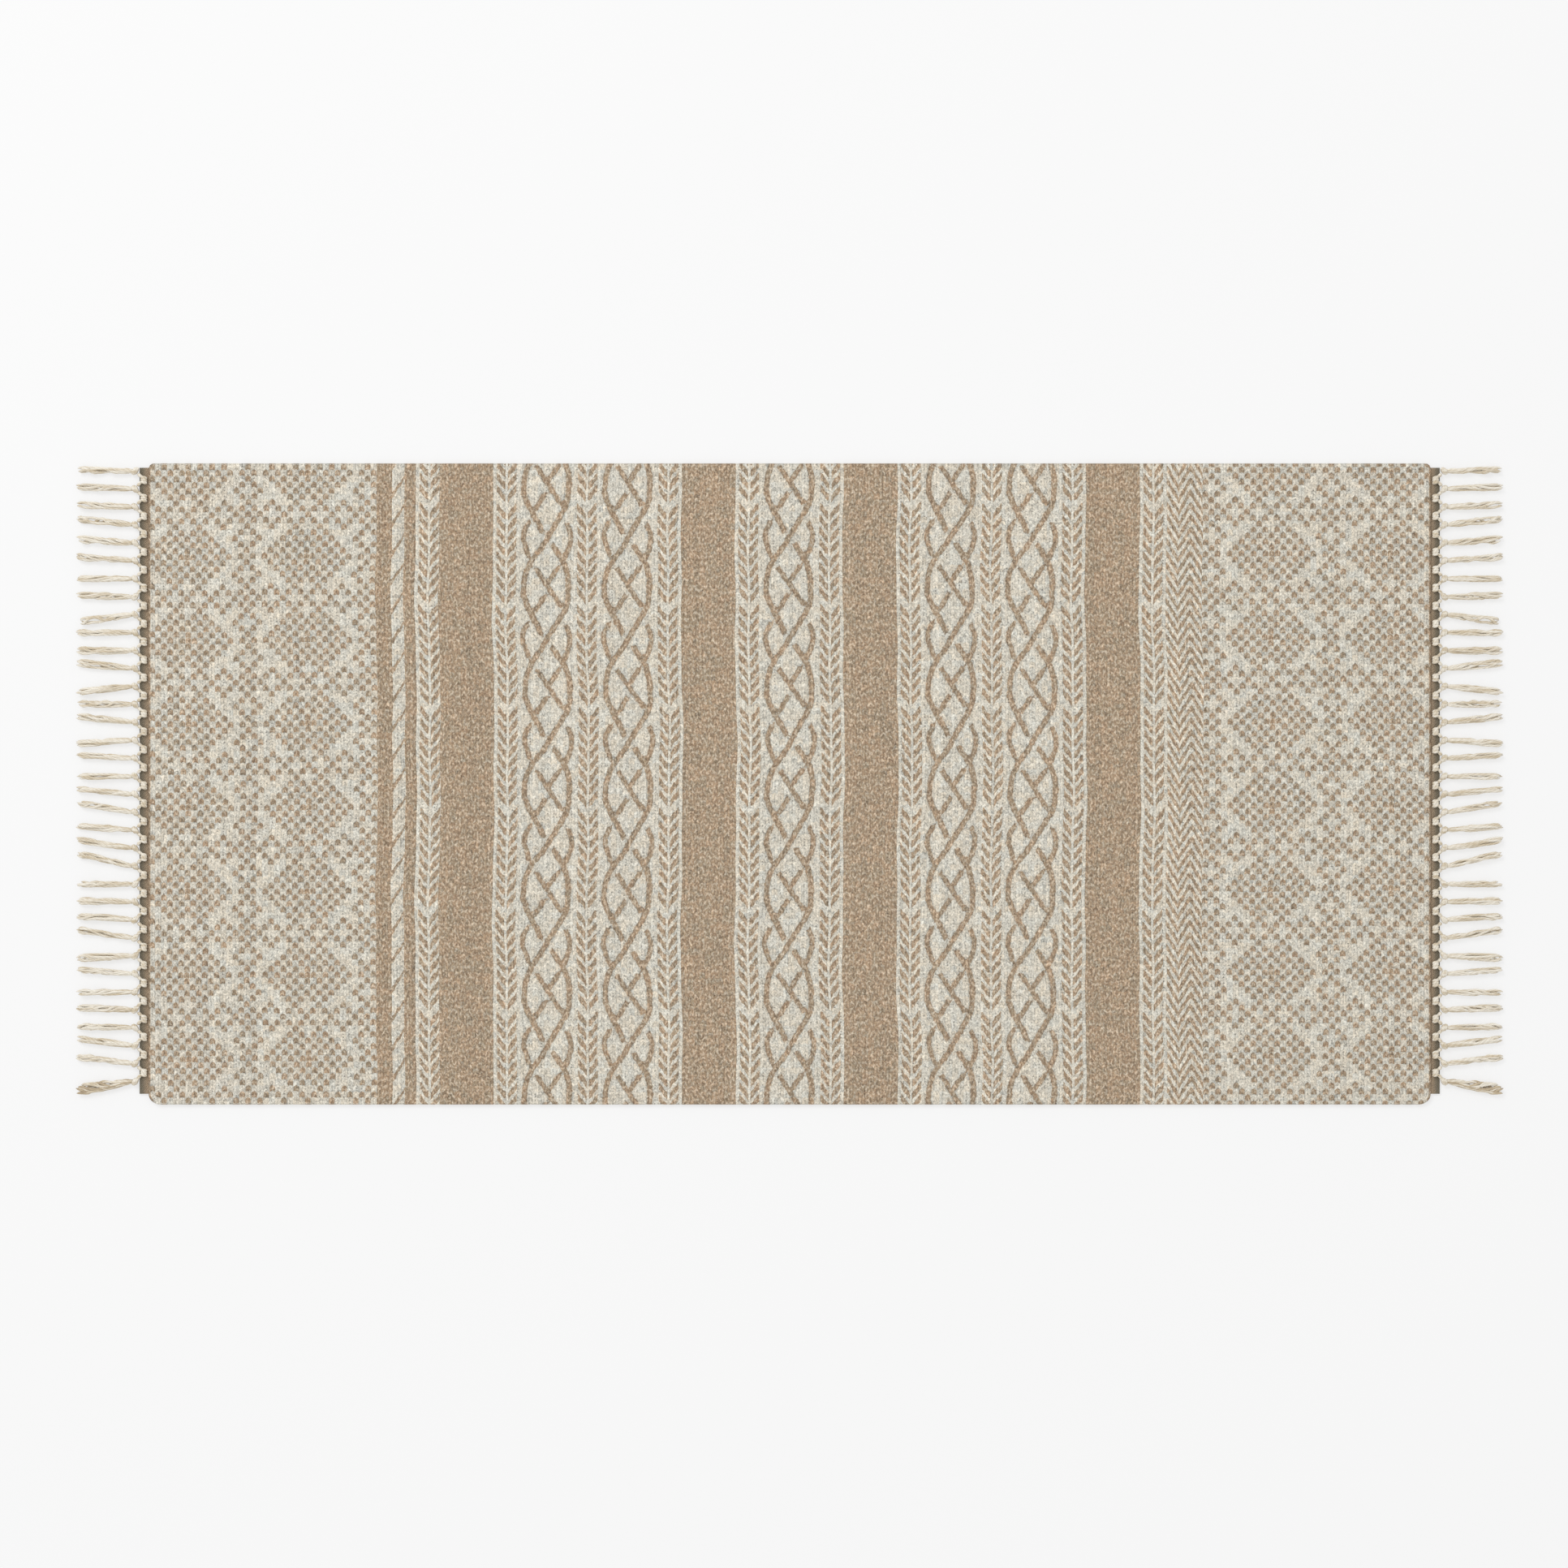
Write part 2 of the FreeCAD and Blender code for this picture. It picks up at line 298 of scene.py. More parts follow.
class Finish:
    """One material and the nodes that it is made of."""

    def __init__(self, name, **constants):
        self.material = bpy.data.materials.new(name)
        self.material.use_nodes = True
        self.nodes = self.material.node_tree.nodes
        self.links = self.material.node_tree.links
        self.shader = self.nodes["Principled BSDF"]
        for socket, value in constants.items():
            self.shader.inputs[socket.replace("_", " ")].default_value = value

    def feed(self, socket, value):
        """Links a value to a socket, or sets the socket to a plain number or colour."""
        if isinstance(value, Value):
            self.links.new(value.socket, socket)
        elif isinstance(value, tuple) and socket.type == "RGBA":
            socket.default_value = (*value, 1.0)
        else:
            socket.default_value = value

    def node(self, kind, settings=None, sockets=None, output=0):
        """A node of a kind, its settings first and then its sockets, as one of its outputs."""
        made = self.nodes.new("ShaderNode" + kind)
        for name, value in (settings or {}).items():
            setattr(made, name, value)
        for key, value in (sockets or {}).items():
            self.feed(made.inputs[key], value)
        return Value(self, made.outputs[output])

    def split(self, vector):
        """The X, Y and Z of a vector, as three values."""
        made = self.node("SeparateXYZ", sockets={0: vector}).socket.node
        return [Value(self, socket) for socket in made.outputs]

    def join(self, x, y, z):
        return self.node("CombineXYZ", sockets={0: x, 1: y, 2: z})

    def place(self):
        return self.node("TexCoord", output="Object")

    def weave_map(self, name):
        return self.node("UVMap", {"uv_map": name})

    def mark(self, name):
        """A number that the mesh carries for each of its faces or points."""
        return self.node("Attribute", {"attribute_name": name}, output="Fac")

    def mix(self, share, first, second, blend="MIX"):
        """A colour between two colours."""
        settings = {"data_type": "RGBA", "blend_type": blend}
        return self.node("Mix", settings, {0: share, 6: first, 7: second}, output=2)

    def noise(self, vector, scale, detail=2.0):
        sockets = {"Vector": vector, "Scale": scale, "Detail": detail}
        return self.node("TexNoise", sockets=sockets)

    def grey(self, value):
        """A number as a colour that can darken another one."""
        return self.node("CombineColor", sockets={0: value, 1: value, 2: value})

    def darken(self, colour, value):
        return self.mix(1.0, colour, self.grey(value), blend="MULTIPLY")

    def colour(self, value):
        self.feed(self.shader.inputs["Base Color"], value)

    def bump(self, height, distance, strength=1.0):
        sockets = {"Height": height, "Distance": distance, "Strength": strength}
        self.feed(self.shader.inputs["Normal"], self.node("Bump", sockets=sockets))


def yarn_colour(red, green, blue):
    """A colour as it is read off a dye card, 0 to 255, turned into light."""
    share = [channel / 255 for channel in (red, green, blue)]
    return tuple(c / 12.92 if c <= 0.04045 else ((c + 0.055) / 1.055) ** 2.4 for c in share)


TURN = 2 * math.pi
WHITE_COOL = yarn_colour(212, 210, 200)
WHITE_WARM = yarn_colour(220, 209, 190)
TAN_OLIVE = yarn_colour(170, 152, 127)
TAN_ORANGE = yarn_colour(186, 157, 128)
CREAM_PALE = yarn_colour(238, 232, 219)
# Partly a darker yarn tone and partly painted shade between the fringe's yarns.
CREAM_TONE_AND_PAINTED_SHADE = yarn_colour(202, 186, 158)
# Painted shade: the heading's dark outer colour.
HEADING_PAINTED_SHADE = yarn_colour(132, 124, 108)
HEADING_TAN = yarn_colour(186, 164, 138)


def stitch_relief(leg, row):
    """How proud a stitch stands, from 0 between stitches to 1 along its middle."""
    across = (leg * (TURN / 2)).sin().abs() ** 0.6
    along = (row * (TURN / 2)).sin().abs() ** 0.5
    return across * (0.45 + 0.55 * along)


def pinholes(finish, leg, row):
    """Small holes between rows, on the line between a cell's two legs, at random depth; the cloth's
    colour darkens in them as painted shade.
    """
    off_line = ((leg * 0.5 % 1.0) - 0.5) * 2
    off_row = ((row + 0.5) % 1.0) - 0.5
    gap = (off_line * off_line + off_row * off_row * 1.6) ** 0.5
    cell = finish.join((leg * 0.5).floor(), (row + 0.5).floor(), 0.0)
    chance = finish.node("TexWhiteNoise", {"noise_dimensions": "2D"}, {"Vector": cell})
    return (1 - gap.ease(0.12, 0.34)) * chance.ease(0.35, 0.9)


# The rope and the first band of V's lie a little further right than the draft draws them.
FIRST_ARROWS_SHIFT = 1.1
FIRST_ARROWS_REACH = 12
ROPE_STRAND_START = 81.2
ROPE_STRAND_LEGS = 4.1


def striped_bands(leg, row, ragged):
    """Tan on the bands of slanting stripes: V's, zigzag and rope, and a mask of those bands."""
    row = row + ragged
    rope_end = ARROWS_START + FIRST_ARROWS_SHIFT
    shift = FIRST_ARROWS_SHIFT * (leg < ARROWS_START + FIRST_ARROWS_REACH)
    spot = (leg - ARROWS_START) % (ARROWS_LEGS + ZONE_LEGS) - shift
    in_arrows = (leg > rope_end) * (leg < ZIGZAG_START) * (spot < ARROWS_LEGS - shift)
    from_middle = (spot - ARROWS_LEGS / 2).abs()
    drop = (row - ARROWS_FIRST_ROW) % REPEAT_ROWS - 1.25 * (3 - from_middle)
    strokes = (drop > 0) * (drop < ARROWS_STACK_ROWS) * (drop % STROKE_ROWS < 2.45)
    arrow_tan = strokes * (from_middle > 0.4) * (from_middle < 3.3)

    in_zigzag = (leg > ZIGZAG_START) * (leg < RIGHT_LATTICE_START)
    climb = ((leg - ZIGZAG_START + 4) % 8 - 4).abs()
    zigzag_tan = (row - ZIGZAG_SLOPE * climb) % STROKE_ROWS < 2.1

    in_rope = (leg > LATTICE_LEGS) * (leg < rope_end)
    strand = leg - ROPE_STRAND_START + 0.3 * ragged
    line = (row + 1.4 * strand) % ROPE_TURN_ROWS < 2.2 - 0.25 * strand
    rope_tan = 1 - (strand > 0) * (strand < ROPE_STRAND_LEGS) * (1 - line)
    tan = in_arrows * arrow_tan + in_zigzag * zigzag_tan + in_rope * rope_tan
    return tan, in_arrows + in_zigzag + in_rope


def round_dots(finish, leg, row, grain):
    """The lattice's tan, each dot rounded off at its corners, and a mask of the two lattices."""
    in_right_lattice = leg > RIGHT_LATTICE_START
    blob = (leg * (TURN / 4)).sin().abs() * ((row + in_right_lattice) * (TURN / 4)).sin().abs()
    dots = finish.mark("tan_yarn") * (blob + 0.3 * grain).ease(0.05, 0.16)
    return dots, (leg < LATTICE_LEGS) + in_right_lattice


def tan_share(finish, leg, row, grain, depth):
    """Where tan yarn shows on the face: 1 on the tan and 0 on the white."""
    tan = finish.mark("tan_yarn")
    tan = tan + finish.mark("smooth_bands") * (depth.ease(-0.12, 0.14) - tan)
    dots, in_lattice = round_dots(finish, leg, row, grain)
    tan = tan + in_lattice * (dots - tan)
    stripes, striped = striped_bands(leg, row, 0.9 * grain)
    tan = tan + striped * (stripes - tan)
    # A tan line along both short edges of the cloth.
    short_edge_tan = (leg < 0.4) + (leg > LEGS - 0.4)
    return (tan + short_edge_tan).limit()


def make_cloth_finish():
    """The face of the jacquard: white and tan knit-like stitches."""
    finish = Finish("jacquard_cloth", Roughness=0.92, Sheen_Weight=0.12, Specular_IOR_Level=0.15)
    leg, row, _ = finish.split(finish.weave_map("stitches"))
    shade = finish.mark("stitch_shade")
    warmth = finish.mark("stitch_warmth")
    grain = finish.noise(finish.join(leg * 0.8, row * 1.1, 0.0), 1.0, 3.0) - 0.5
    depth = finish.mark("tan_depth") + 0.8 * grain
    tan = tan_share(finish, leg, row, grain, depth)
    # Painted shadow: the colour darkens in a thin line along the edges between tan and white on the
    # lattices and cables.
    outline = 1 - 0.14 * finish.mark("smooth_bands") * (1 - depth.abs().ease(0.0, 0.6))
    white = finish.mix(warmth, WHITE_COOL, WHITE_WARM)
    brown = finish.mix(warmth, TAN_OLIVE, TAN_ORANGE)
    flecks = finish.noise(finish.join(leg * 1.3, row * 0.9, 8.0), 1.0, 2.0).ease(0.42, 0.66)
    colour = finish.mix(tan * (1 - 0.34 * flecks), white, brown)
    relief = stitch_relief(leg, row)
    holes = pinholes(finish, leg, row)
    fibres = finish.noise(finish.join(leg * 0.9, row * 0.9, 0.0), 3.0, 3.0)
    dashes = finish.noise(finish.join(leg * 2.4, row * 1.7, 0.0), 1.0, 1.0).ease(0.38, 0.62)
    clumps = finish.noise(finish.join(leg * 1.1, row * 0.75, 4.0), 1.0, 2.0).ease(0.36, 0.64)
    # Painted shade: the relief term lightens each stitch's middle against the gaps between stitches;
    # the stitch_shade, dashes, clumps and fibres terms are random tone.
    light = 0.58 + 0.12 * relief + 0.32 * dashes + 0.28 * clumps + 0.30 * (fibres - 0.5) + shade
    light = light * outline * (1 + tan * (0.32 * flecks - 0.19))
    # Painted shade: the colour darkens in the small holes between rows.
    light = light * (1 - (0.38 - 0.2 * tan) * holes)
    finish.colour(finish.darken(colour, light))
    finish.bump(0.7 * relief + 0.8 * fibres + 0.8 * dashes + 0.5 * grain - holes, 0.5 * MM, 0.8)
    return finish.material


def make_back_finish():
    """The underside: the same bands with the two yarns changed over, in a plainer pattern."""
    constants = {"Roughness": 0.94, "Sheen_Weight": 0.12, "Specular_IOR_Level": 0.12}
    finish = Finish("jacquard_cloth_back", **constants)
    x, y, _ = finish.split(finish.place())
    leg = (x + LENGTH / 2) / LEG
    zig = ((leg * 0.5 % 1.0) - 0.5).abs() * 2
    row = (WIDTH / 2 - y) / ROW + 0.9 * zig
    checks = ((leg * 0.5).floor() + (row * 0.5).floor()) % 2
    in_lattice = (leg < LATTICE_LEGS) + (leg > RIGHT_LATTICE_START)
    middle = (leg > ARROWS_START) * (leg < ZIGZAG_START)
    spot = (leg - ARROWS_START - 4) % (ARROWS_LEGS + ZONE_LEGS)
    in_arrows = ((spot < 5) + (spot > 22)).limit() * middle
    slant = (row + (spot - 0.5).abs() * 1.2) % STROKE_ROWS < 2
    zone = ((leg - ARROWS_START - ARROWS_LEGS) / (ARROWS_LEGS + ZONE_LEGS)).floor()
    in_cables = ((zone - 1.5).abs() < 0.9) + ((zone - 4).abs() < 0.4) + ((zone - 6.5).abs() < 0.9)
    bands = in_lattice * (1 - 0.9 * checks) + in_arrows * slant
    bands = bands + middle * (1 - in_arrows) * in_cables.limit()
    in_rope = (row - 1.2 * leg) % ROPE_TURN_ROWS > 1
    beside = (1 - middle) * (1 - in_lattice) * in_rope * 0.8
    tan = (bands + beside).limit()
    relief = stitch_relief(leg, row)
    fibres = finish.noise(finish.place(), 900.0, 3.0)
    white = finish.mix(0.5, WHITE_COOL, WHITE_WARM)
    brown = finish.mix(0.5, TAN_OLIVE, TAN_ORANGE)
    colour = finish.mix(tan, white, brown)
    # Painted shade: the relief term lightens each stitch's middle against the gaps between stitches;
    # the fibres term is random tone.
    finish.colour(finish.darken(colour, 0.68 + 0.34 * relief + 0.3 * (fibres - 0.5)))
    finish.bump(relief + 0.5 * fibres, 0.5 * MM, 0.8)
    return finish.material


def make_heading_finish():
    """The plain-woven heading, darker away from the cloth as painted shade where it shows between the
    beads.
    """
    finish = Finish("heading_weave", Roughness=0.95, Specular_IOR_Level=0.1)
    place = finish.place()
    x, y, _ = finish.split(place)
    # The colour darkens outward to the dark heading colour as painted shade; the threads also lighten
    # and darken it with their rise and sink as painted shade.
    outward = (x.abs() - LENGTH / 2).ease(0.0, 7.0 * MM)
    threads = (y * (TURN / (1.4 * MM))).sin() * (x * (TURN / (1.9 * MM))).sin()
    fibres = finish.noise(place, 1400.0, 2.0)
    colour = finish.mix(outward, HEADING_TAN, HEADING_PAINTED_SHADE)
    finish.colour(finish.darken(colour, 0.85 + 0.2 * threads + 0.4 * (fibres - 0.5)))
    finish.bump(threads + fibres, 0.3 * MM)
    return finish.material


def make_yarn_finish(name, pale, deep, ply_turns):
    """Loosely plied cotton yarn: plies wind round it and fibres run along it."""
    finish = Finish(name, Roughness=0.88, Sheen_Weight=0.2, Specular_IOR_Level=0.2)
    along, around, _ = finish.split(finish.weave_map("UVMap"))
    place = finish.place()
    x, y, z = finish.split(place)
    plies = ((around * 3 + along * ply_turns) * TURN).sin()
    streaks = finish.noise(finish.join(x * 30, y * 420, z * 420), 1.0, 3.0)
    fibres = finish.noise(place, 1500.0, 2.0)
    # The streaks and the ply grooves take the second colour: partly yarn-to-yarn tone, partly painted
    # shade between the yarns and in the grooves. The plies also lighten the colour on their ridges as
    # painted shade.
    share = (streaks.ease(0.36, 0.68) * 0.8 + 0.2 * (1 - plies.ease(-1.0, 0.6))).limit()
    colour = finish.mix(share, pale, deep)
    light = 0.95 + 0.05 * plies + 0.22 * (fibres - 0.5)
    finish.colour(finish.darken(colour, light))
    finish.bump(0.5 * plies + 0.6 * fibres, 0.2 * MM, 0.8)
    return finish.material


# ---- Helpers for pieces ----
def add_piece(name, mesh, body, slot, *nodes):
    """One finished piece: it moves with a body and stands for nodes. The slot is not used."""
    piece = bpy.data.objects.new(name, mesh)
    bpy.context.scene.collection.objects.link(piece)
    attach(piece, body)
    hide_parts(*nodes)
    return piece


def spin_yarns(name, strands, thickness, finishes):
    """Round yarns as one mesh. A strand is its points, its fullness at each, whether it closes
    on itself, and which of the finishes it has."""
    line = bpy.data.curves.new(name + "_lines", "CURVE")
    line.dimensions = "3D"
    line.bevel_depth = thickness / 2
    line.bevel_resolution = 2
    line.use_fill_caps = True
    for finish in finishes:
        line.materials.append(finish)
    for points, fullness, closed, which in strands:
        spline = line.splines.new("POLY")
        spline.points.add(len(points) - 1)
        for spot, point, size in zip(spline.points, points, fullness):
            spot.co = (*point, 1.0)
            spot.radius = size
        spline.use_cyclic_u = closed
        spline.use_smooth = True
        spline.material_index = which
    holder = bpy.data.objects.new(name + "_lines", line)
    bpy.context.scene.collection.objects.link(holder)
    depsgraph = bpy.context.evaluated_depsgraph_get()
    mesh = bpy.data.meshes.new_from_object(holder.evaluated_get(depsgraph))
    mesh.name = name
    bpy.data.objects.remove(holder)
    bpy.data.curves.remove(line)
    shape = bmesh.new()
    shape.from_mesh(mesh)
    bmesh.ops.remove_doubles(shape, verts=shape.verts[:], dist=0.002 * MM)
    bmesh.ops.recalc_face_normals(shape, faces=shape.faces[:])
    shape.to_mesh(mesh)
    shape.free()
    return mesh


def mirrored(mesh, name):
    """The same shape for the other end of the mat."""
    copy = mesh.copy()
    copy.name = name
    shape = bmesh.new()
    shape.from_mesh(copy)
    bmesh.ops.scale(shape, verts=shape.verts[:], vec=(-1, 1, 1))
    bmesh.ops.reverse_faces(shape, faces=shape.faces[:])
    shape.to_mesh(copy)
    shape.free()
    return copy


def smooth_step(share):
    share = min(max(share, 0.0), 1.0)
    return share * share * (3 - 2 * share)


def knot_y(number):
    """The line of a knot across the mat; a half number is a bead between two knots."""
    return FIRST_KNOT_Y - number * PITCH


# ---- The cloth ----
ROLL = 0.9 * MM
BACK_CORNER = 4 * MM
FRONT_CORNER = 10 * MM
RIM_STEPS = [(0.7, 0.72), (1.0, 0.45), (0.3, 0.04), (-0.8, 0.0)]


def cloth_shell():
    """A flat closed shell: a grid of one face for each stitch, a rim and one face below.

    Each rim vertex remembers which step of the rim it belongs to.
    """
    shape = bmesh.new()
    step_layer = shape.verts.layers.int.new("rim_step")
    size = Matrix.Diagonal((LENGTH - 2 * ROLL, WIDTH - 2 * ROLL, 1, 1))
    bmesh.ops.create_grid(shape, x_segments=LEGS, y_segments=ROWS, size=0.5, matrix=size)
    rim = [edge for edge in shape.edges if edge.is_boundary]
    for step in range(1, len(RIM_STEPS) + 1):
        made = bmesh.ops.extrude_edge_only(shape, edges=rim)["geom"]
        below = [item for item in made if isinstance(item, bmesh.types.BMVert)]
        bmesh.ops.translate(shape, verts=below, vec=(0, 0, -THICKNESS / len(RIM_STEPS)))
        for vertex in below:
            vertex[step_layer] = step
        rim = [item for item in made if isinstance(item, bmesh.types.BMEdge) and item.is_boundary]
    bmesh.ops.edgeloop_fill(shape, edges=rim, mat_nr=1)
    bmesh.ops.recalc_face_normals(shape, faces=shape.faces[:])
    mesh = bpy.data.meshes.new("woven_cloth")
    shape.to_mesh(mesh)
    shape.free()
    return mesh


def rounded_outline(x, y):
    """Moves flat points so that the corners are round: squarer at the back than at the front."""
    radius = np.where(y > 0, BACK_CORNER, FRONT_CORNER)
    core_x = np.clip(x, -LENGTH / 2 + ROLL + radius, LENGTH / 2 - ROLL - radius)
    core_y = np.clip(y, -WIDTH / 2 + ROLL + radius, WIDTH / 2 - ROLL - radius)
    off_x, off_y = x - core_x, y - core_y
    reach = np.hypot(off_x, off_y)
    share = np.maximum(np.abs(off_x), np.abs(off_y)) / np.maximum(reach, 1e-9)
    share = np.where(reach > 0, share, 1.0)
    outward_x, outward_y = off_x / np.maximum(reach, 1e-9), off_y / np.maximum(reach, 1e-9)
    return core_x + off_x * share, core_y + off_y * share, outward_x, outward_y


def face_heights():
    """How far each grid point stands above the tan ground: white floats lie proud of it."""
    points = at_grid_points(1 - DRAFT)
    wide = np.pad(points, 1, mode="edge")
    return (points * 2 + wide[:-2, 1:-1] + wide[2:, 1:-1] + wide[1:-1, :-2] + wide[1:-1, 2:]) / 6


def shape_cloth(mesh):
    """Gives the flat shell its chevron stitches, wavy lie, relief and soft rim."""
    count = len(mesh.vertices)
    place = np.zeros(count * 3)
    mesh.vertices.foreach_get("co", place)
    x, y, _ = place.reshape(-1, 3).T.copy()
    step = np.zeros(count, np.int32)
    mesh.attributes["rim_step"].data.foreach_get("value", step)
    span_x, span_y = LENGTH - 2 * ROLL, WIDTH - 2 * ROLL
    leg = np.rint((x / span_x + 0.5) * LEGS).astype(int)
    row = np.rint((0.5 - y / span_y) * ROWS).astype(int)

    to_side = np.minimum(leg, LEGS - leg)
    to_long_edge = np.minimum(row, ROWS - row)
    inside = np.clip(np.minimum(to_side, to_long_edge) / 14, 0, 1)
    stitched = np.clip(to_long_edge / 2, 0, 1)
    chevron = np.where(leg % 2 == 0, -0.24, 0.24) * ROW * stitched
    wave_x = 0.9 * np.sin(y * 19 + 1.1) + 0.5 * np.sin(y * 47 + x * 9) + 0.3 * np.sin(y * 88 + x * 31)
    wave_y = 0.7 * np.sin(x * 13 + 0.4) + 0.5 * np.sin(x * 41 + y * 12) + 0.25 * np.sin(x * 97)
    flat_x, flat_y, outward_x, outward_y = rounded_outline(x, y)
    x = flat_x + wave_x * MM * inside
    y = flat_y + wave_y * MM * inside + chevron

    heights = face_heights()[leg, row]
    swell = 0.15 * np.sin(x * 23 + 2 * np.sin(y * 17)) * np.sin(y * 29 + 1.3)
    edge = np.minimum(to_side * LEG, to_long_edge * ROW)
    fall = np.clip(1 - edge / (3.2 * MM), 0, 1) ** 2
    top = THICKNESS - 0.7 * MM + (0.8 * heights + swell) * MM * inside
    top = top * (1 - 0.2 * fall)
    for number, (out, level) in enumerate(RIM_STEPS, start=1):
        here = step == number
        x[here] += outward_x[here] * out * ROLL
        y[here] += outward_y[here] * out * ROLL
        top[here] = level * THICKNESS
    mesh.vertices.foreach_set("co", np.stack([x, y, top], 1).ravel())
    return leg, row, step


def mark_stitches(mesh, leg, row, step):
    """Writes the stitch map, each face's yarn, shade and warmth, and each point's depth."""
    corners = np.zeros(len(mesh.loops), np.int32)
    mesh.loops.foreach_get("vertex_index", corners)
    stitches = np.stack([leg[corners], row[corners] + 0.6 * step[corners]], 1)
    mesh.uv_layers.new(name="stitches").uv.foreach_set("vector", stitches.ravel().astype(np.float32))

    starts = np.zeros(len(mesh.polygons), np.int32)
    mesh.polygons.foreach_get("loop_start", starts)
    face_leg = np.minimum(np.minimum.reduceat(leg[corners], starts), LEGS - 1)
    face_row = np.minimum(np.minimum.reduceat(row[corners], starts), ROWS - 1)
    dice = np.random.default_rng(7)
    per_stitch = dice.normal(0, 0.075, (LEGS, ROWS)) + dice.normal(0, 0.03, (LEGS, 1))
    per_cell = dice.random((LEGS // 2, ROWS // 2)).repeat(2, 0).repeat(2, 1)
    warmth = np.clip(per_cell * 0.7 + dice.random((LEGS, ROWS)) * 0.3, 0, 1)
    marks = {
        "tan_yarn": DRAFT,
        "smooth_bands": SMOOTH_BANDS,
        "stitch_shade": per_stitch,
        "stitch_warmth": warmth,
    }
    for name, grid in marks.items():
        layer = mesh.attributes.new(name, "FLOAT", "FACE")
        layer.data.foreach_set("value", grid[face_leg, face_row].astype(np.float32))
    layer = mesh.attributes.new("tan_depth", "FLOAT", "POINT")
    layer.data.foreach_set("value", TAN_DEPTH[leg, row].astype(np.float32))


def make_cloth():
    mesh = cloth_shell()
    leg, row, step = shape_cloth(mesh)
    mark_stitches(mesh, leg, row, step)
    mesh.shade_smooth()
    mesh.materials.append(make_cloth_finish())
    mesh.materials.append(make_back_finish())
    return add_piece("woven_cloth", mesh, "mat", "jacquard_cloth", "woven_panel")


def make_heading(side, finish):
    """The thin strip past the cloth: a plain weave whose threads rise and sink in turn."""
    low, high = (Vector(corner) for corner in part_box(f"{side}_heading"))
    size = high - low
    across, along = 6, 320
    shape = bmesh.new()
    bmesh.ops.create_grid(shape, x_segments=across, y_segments=along, size=0.5)
    rim = [edge for edge in shape.edges if edge.is_boundary]
    made = bmesh.ops.extrude_edge_only(shape, edges=rim)["geom"]
    below = [item for item in made if isinstance(item, bmesh.types.BMVert)]
    top = [vertex for vertex in shape.verts if vertex not in set(below)]
    bmesh.ops.translate(shape, verts=below, vec=(0, 0, -1))
    bottom = [item for item in made if isinstance(item, bmesh.types.BMEdge) and item.is_boundary]
    bmesh.ops.edgeloop_fill(shape, edges=bottom)
    for vertex in top:
        column = round((vertex.co.x + 0.5) * across)
        line = round((vertex.co.y + 0.5) * along)
        vertex.co.z = -0.12 if (column + line) % 2 else 0.0
    middle = (low + high) / 2
    place = Matrix.Translation((middle.x, middle.y, high.z)) @ Matrix.Diagonal((*size, 1))
    bmesh.ops.transform(shape, matrix=place, verts=shape.verts[:])
    bmesh.ops.recalc_face_normals(shape, faces=shape.faces[:])
    mesh = bpy.data.meshes.new(f"{side}_heading_weave")
    shape.to_mesh(mesh)
    shape.free()
    mesh.materials.append(finish)
    return add_piece(f"{side}_heading_weave", mesh, "mat", "heading_weave", f"{side}_heading")


# ---- The fringe, drawn for the right end and mirrored for the left ----
YARN = 2.5 * MM
HEADING_LOW, HEADING_HIGH = (Vector(corner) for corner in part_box("right_heading"))
HITCH_LOW, HITCH_HIGH = (Vector(corner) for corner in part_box("right_hitches"))
BEAD_X = (HEADING_LOW.x + HEADING_HIGH.x) / 2
BEAD_WIDTH = 2 * (BEAD_X - HITCH_LOW.x)
BEAD_LENGTH = 7.6 * MM
ARM_DROP = 1.2 * MM


def hitch_strands(number):
    """A bead: three turns of yarn over the heading, the outer two running on to the knots."""
    dice = random.Random(500 + number)
    middle = knot_y(number + 0.5)
    base = HEADING_HIGH.z + YARN / 2
    rise = HITCH_HIGH.z - HEADING_HIGH.z - YARN
    half = (BEAD_WIDTH - YARN) / 2
    spread = (BEAD_LENGTH - 1.3 * YARN) / 2
    strands = []
    for lane in (-1, 0, 1):
        slant = dice.uniform(0.3, 1.0) * MM
        height = rise * dice.uniform(0.85, 1.0) * (1.0 if lane == 0 else 0.75)
        points, fullness = [], []
        for step in range(9):
            turn = math.pi * step / 8
            across = middle + lane * spread + slant * (step / 4 - 1)
            points.append((BEAD_X - half * math.cos(turn), across, base + height * math.sin(turn)))
            fullness.append(1.0 + 0.4 * math.sin(turn))
        if lane:
            knot = Vector((KNOT_X, middle + lane * PITCH / 2, KNOT_Z - ARM_DROP))
            start = Vector(points[-1])
            way = (knot - start).normalized()
            stop = knot - way * 0.92 * KNOT_WIDTH / 2
            for share, full in ((0.25, 1.15), (0.5, 1.35), (0.75, 1.3), (0.92, 1.0), (1.0, 0.5)):
                sag = Vector((0.5 * MM * math.sin(math.pi * share), 0, 0))
                points.append(tuple(start.lerp(stop, share) + sag))
                fullness.append(full)
        strands.append((points, fullness, False, 0))
    return strands


